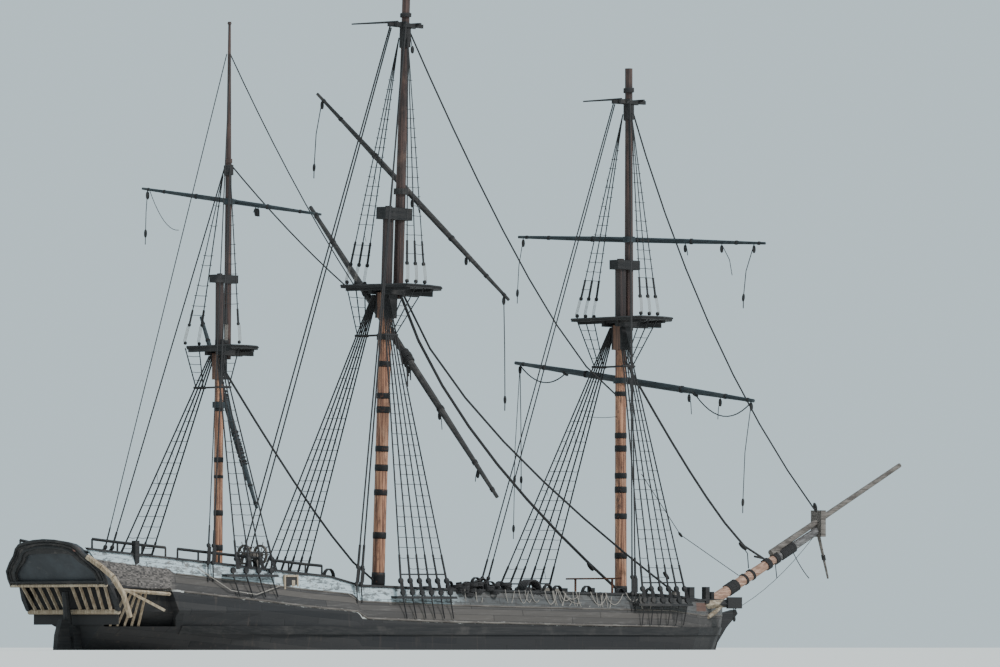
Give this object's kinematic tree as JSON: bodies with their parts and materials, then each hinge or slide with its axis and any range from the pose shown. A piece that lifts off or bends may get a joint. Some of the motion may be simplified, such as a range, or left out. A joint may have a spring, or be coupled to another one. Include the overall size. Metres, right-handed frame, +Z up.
{
  "type": "tall ship, 1:2 scale model",
  "caption": "Derelict square-rigged ship with bare masts, drooping yards that brace round, a hinged rudder, wheel, capstan and windlass.",
  "frame": {"origin": "centreline of the hull at the waterline, in line with the foot of the main mast", "axes": "+X towards the bow, +Y to port, +Z up"},
  "size_m": [24.7052, 7.2247, 15.4162],
  "materials": {
    "hull_planks": "matt, weathered",
    "dark_timber": "matt, tarred",
    "bulwark_paint": "matt, peeling",
    "stern_paint": "matt",
    "bare_timber": "matt, bleached",
    "mast_timber": "oiled, weathered",
    "topmast_timber": "matt",
    "yard_timber": "matt, painted",
    "grey_timber": "matt, weathered",
    "tarred_rope": "matt",
    "deck_timber": "matt, weathered"
  },
  "bodies": {
    "ship": {"hull": "hull_planks", "keel_stem_and_sternpost": "dark_timber", "transom_panel": "stern_paint", "counter_timbers": "bare_timber", "quarter_ribs": "bare_timber", "bulwark_starboard": "bulwark_paint", "cap_rail_starboard": "dark_timber", "wale_starboard": "dark_timber", "fore_channel_starboard": "dark_timber", "main_channel_starboard": "dark_timber", "mizzen_channel_starboard": "dark_timber", "cathead_starboard": "bare_timber", "bulwark_port": "bulwark_paint", "cap_rail_port": "dark_timber", "wale_port": "dark_timber", "fore_channel_port": "dark_timber", "main_channel_port": "dark_timber", "mizzen_channel_port": "dark_timber", "cathead_port": "bare_timber", "fore_lower_mast": "mast_timber", "fore_top": "dark_timber", "fore_cap": "dark_timber", "fore_topmast": "topmast_timber", "main_lower_mast": "mast_timber", "main_top": "dark_timber", "main_cap": "dark_timber", "main_topmast": "topmast_timber", "mizzen_lower_mast": "mast_timber", "mizzen_top": "dark_timber", "mizzen_cap": "dark_timber", "mizzen_topmast": "topmast_timber", "fore_crosstrees": "dark_timber", "main_crosstrees": "dark_timber", "bowsprit": "mast_timber", "jibboom": "grey_timber", "bowsprit_cap": "dark_timber", "dolphin_striker": "dark_timber", "fore_stay": "tarred_rope", "fore_topmast_stay": "tarred_rope", "main_stay": "tarred_rope", "main_preventer_stay": "tarred_rope", "main_topmast_stay": "tarred_rope", "mizzen_stay": "tarred_rope", "mizzen_topmast_stay": "tarred_rope", "mizzen_topgallant_stay": "tarred_rope", "wheel_stand": "grey_timber", "capstan_step": "deck_timber", "windlass_bitts": "grey_timber", "main_hatch": "deck_timber", "companion_hood": "deck_timber"},
    "rudder": {"rudder": "dark_timber"},
    "steering_wheel": {"steering_wheel": "grey_timber"},
    "capstan": {"capstan": "topmast_timber"},
    "windlass": {"windlass_barrel": "grey_timber"},
    "main_yard": {"main_yard": "grey_timber"},
    "main_topsail_yard": {"main_topsail_yard": "grey_timber"},
    "fore_yard": {"fore_yard": "yard_timber"},
    "fore_topsail_yard": {"fore_topsail_yard": "yard_timber"},
    "crossjack_yard": {"crossjack_yard": "yard_timber"},
    "mizzen_topsail_yard": {"mizzen_topsail_yard": "yard_timber"}
  },
  "joints": [
    {"name": "rudder_hinge", "type": "hinge", "parent": "ship", "child": "rudder", "pos_m": [-8.2904, 0, 0], "axis": [-0.1175, 0, 0.9931], "range_deg": [-35, 35]},
    {"name": "wheel_turn", "type": "hinge", "parent": "ship", "child": "steering_wheel", "pos_m": [-3.465, 0, 1.92], "axis": [1, 0, 0], "continuous": true},
    {"name": "capstan_turn", "type": "hinge", "parent": "ship", "child": "capstan", "pos_m": [-1.3, 0, 1], "axis": [0, 0, 1], "continuous": true},
    {"name": "windlass_turn", "type": "hinge", "parent": "ship", "child": "windlass", "pos_m": [7.95, 0, 1], "axis": [0, 1, 0], "continuous": true},
    {"name": "fore_yard_brace", "type": "hinge", "parent": "ship", "child": "fore_yard", "pos_m": [7.03, 0, 0], "axis": [0, 0, 1], "range_deg": [-16, 18]},
    {"name": "fore_topsail_yard_brace", "type": "hinge", "parent": "ship", "child": "fore_topsail_yard", "pos_m": [7.28, 0, 0], "axis": [0, 0, 1], "range_deg": [-28, 0]},
    {"name": "main_yard_brace", "type": "hinge", "parent": "ship", "child": "main_yard", "pos_m": [-0.02443, 0.02443, 0.00048], "axis": [0.0195, -0.0195, 0.9996], "range_deg": [-9, 38]},
    {"name": "main_topsail_yard_brace", "type": "hinge", "parent": "ship", "child": "main_topsail_yard", "pos_m": [0.3005, 0.02455, -0.00587], "axis": [0.0195, -0.0195, 0.9996], "range_deg": [-29, 0]},
    {"name": "crossjack_yard_brace", "type": "hinge", "parent": "ship", "child": "crossjack_yard", "pos_m": [-4.40436, 0.00436, 0.00002], "axis": [0.0035, -0.0035, 1], "range_deg": [-9, 33]},
    {"name": "mizzen_topsail_yard_brace", "type": "hinge", "parent": "ship", "child": "mizzen_topsail_yard", "pos_m": [-4.18436, 0.00437, -0.00075], "axis": [0.0035, -0.0035, 1], "range_deg": [-46, 21]}
  ]
}
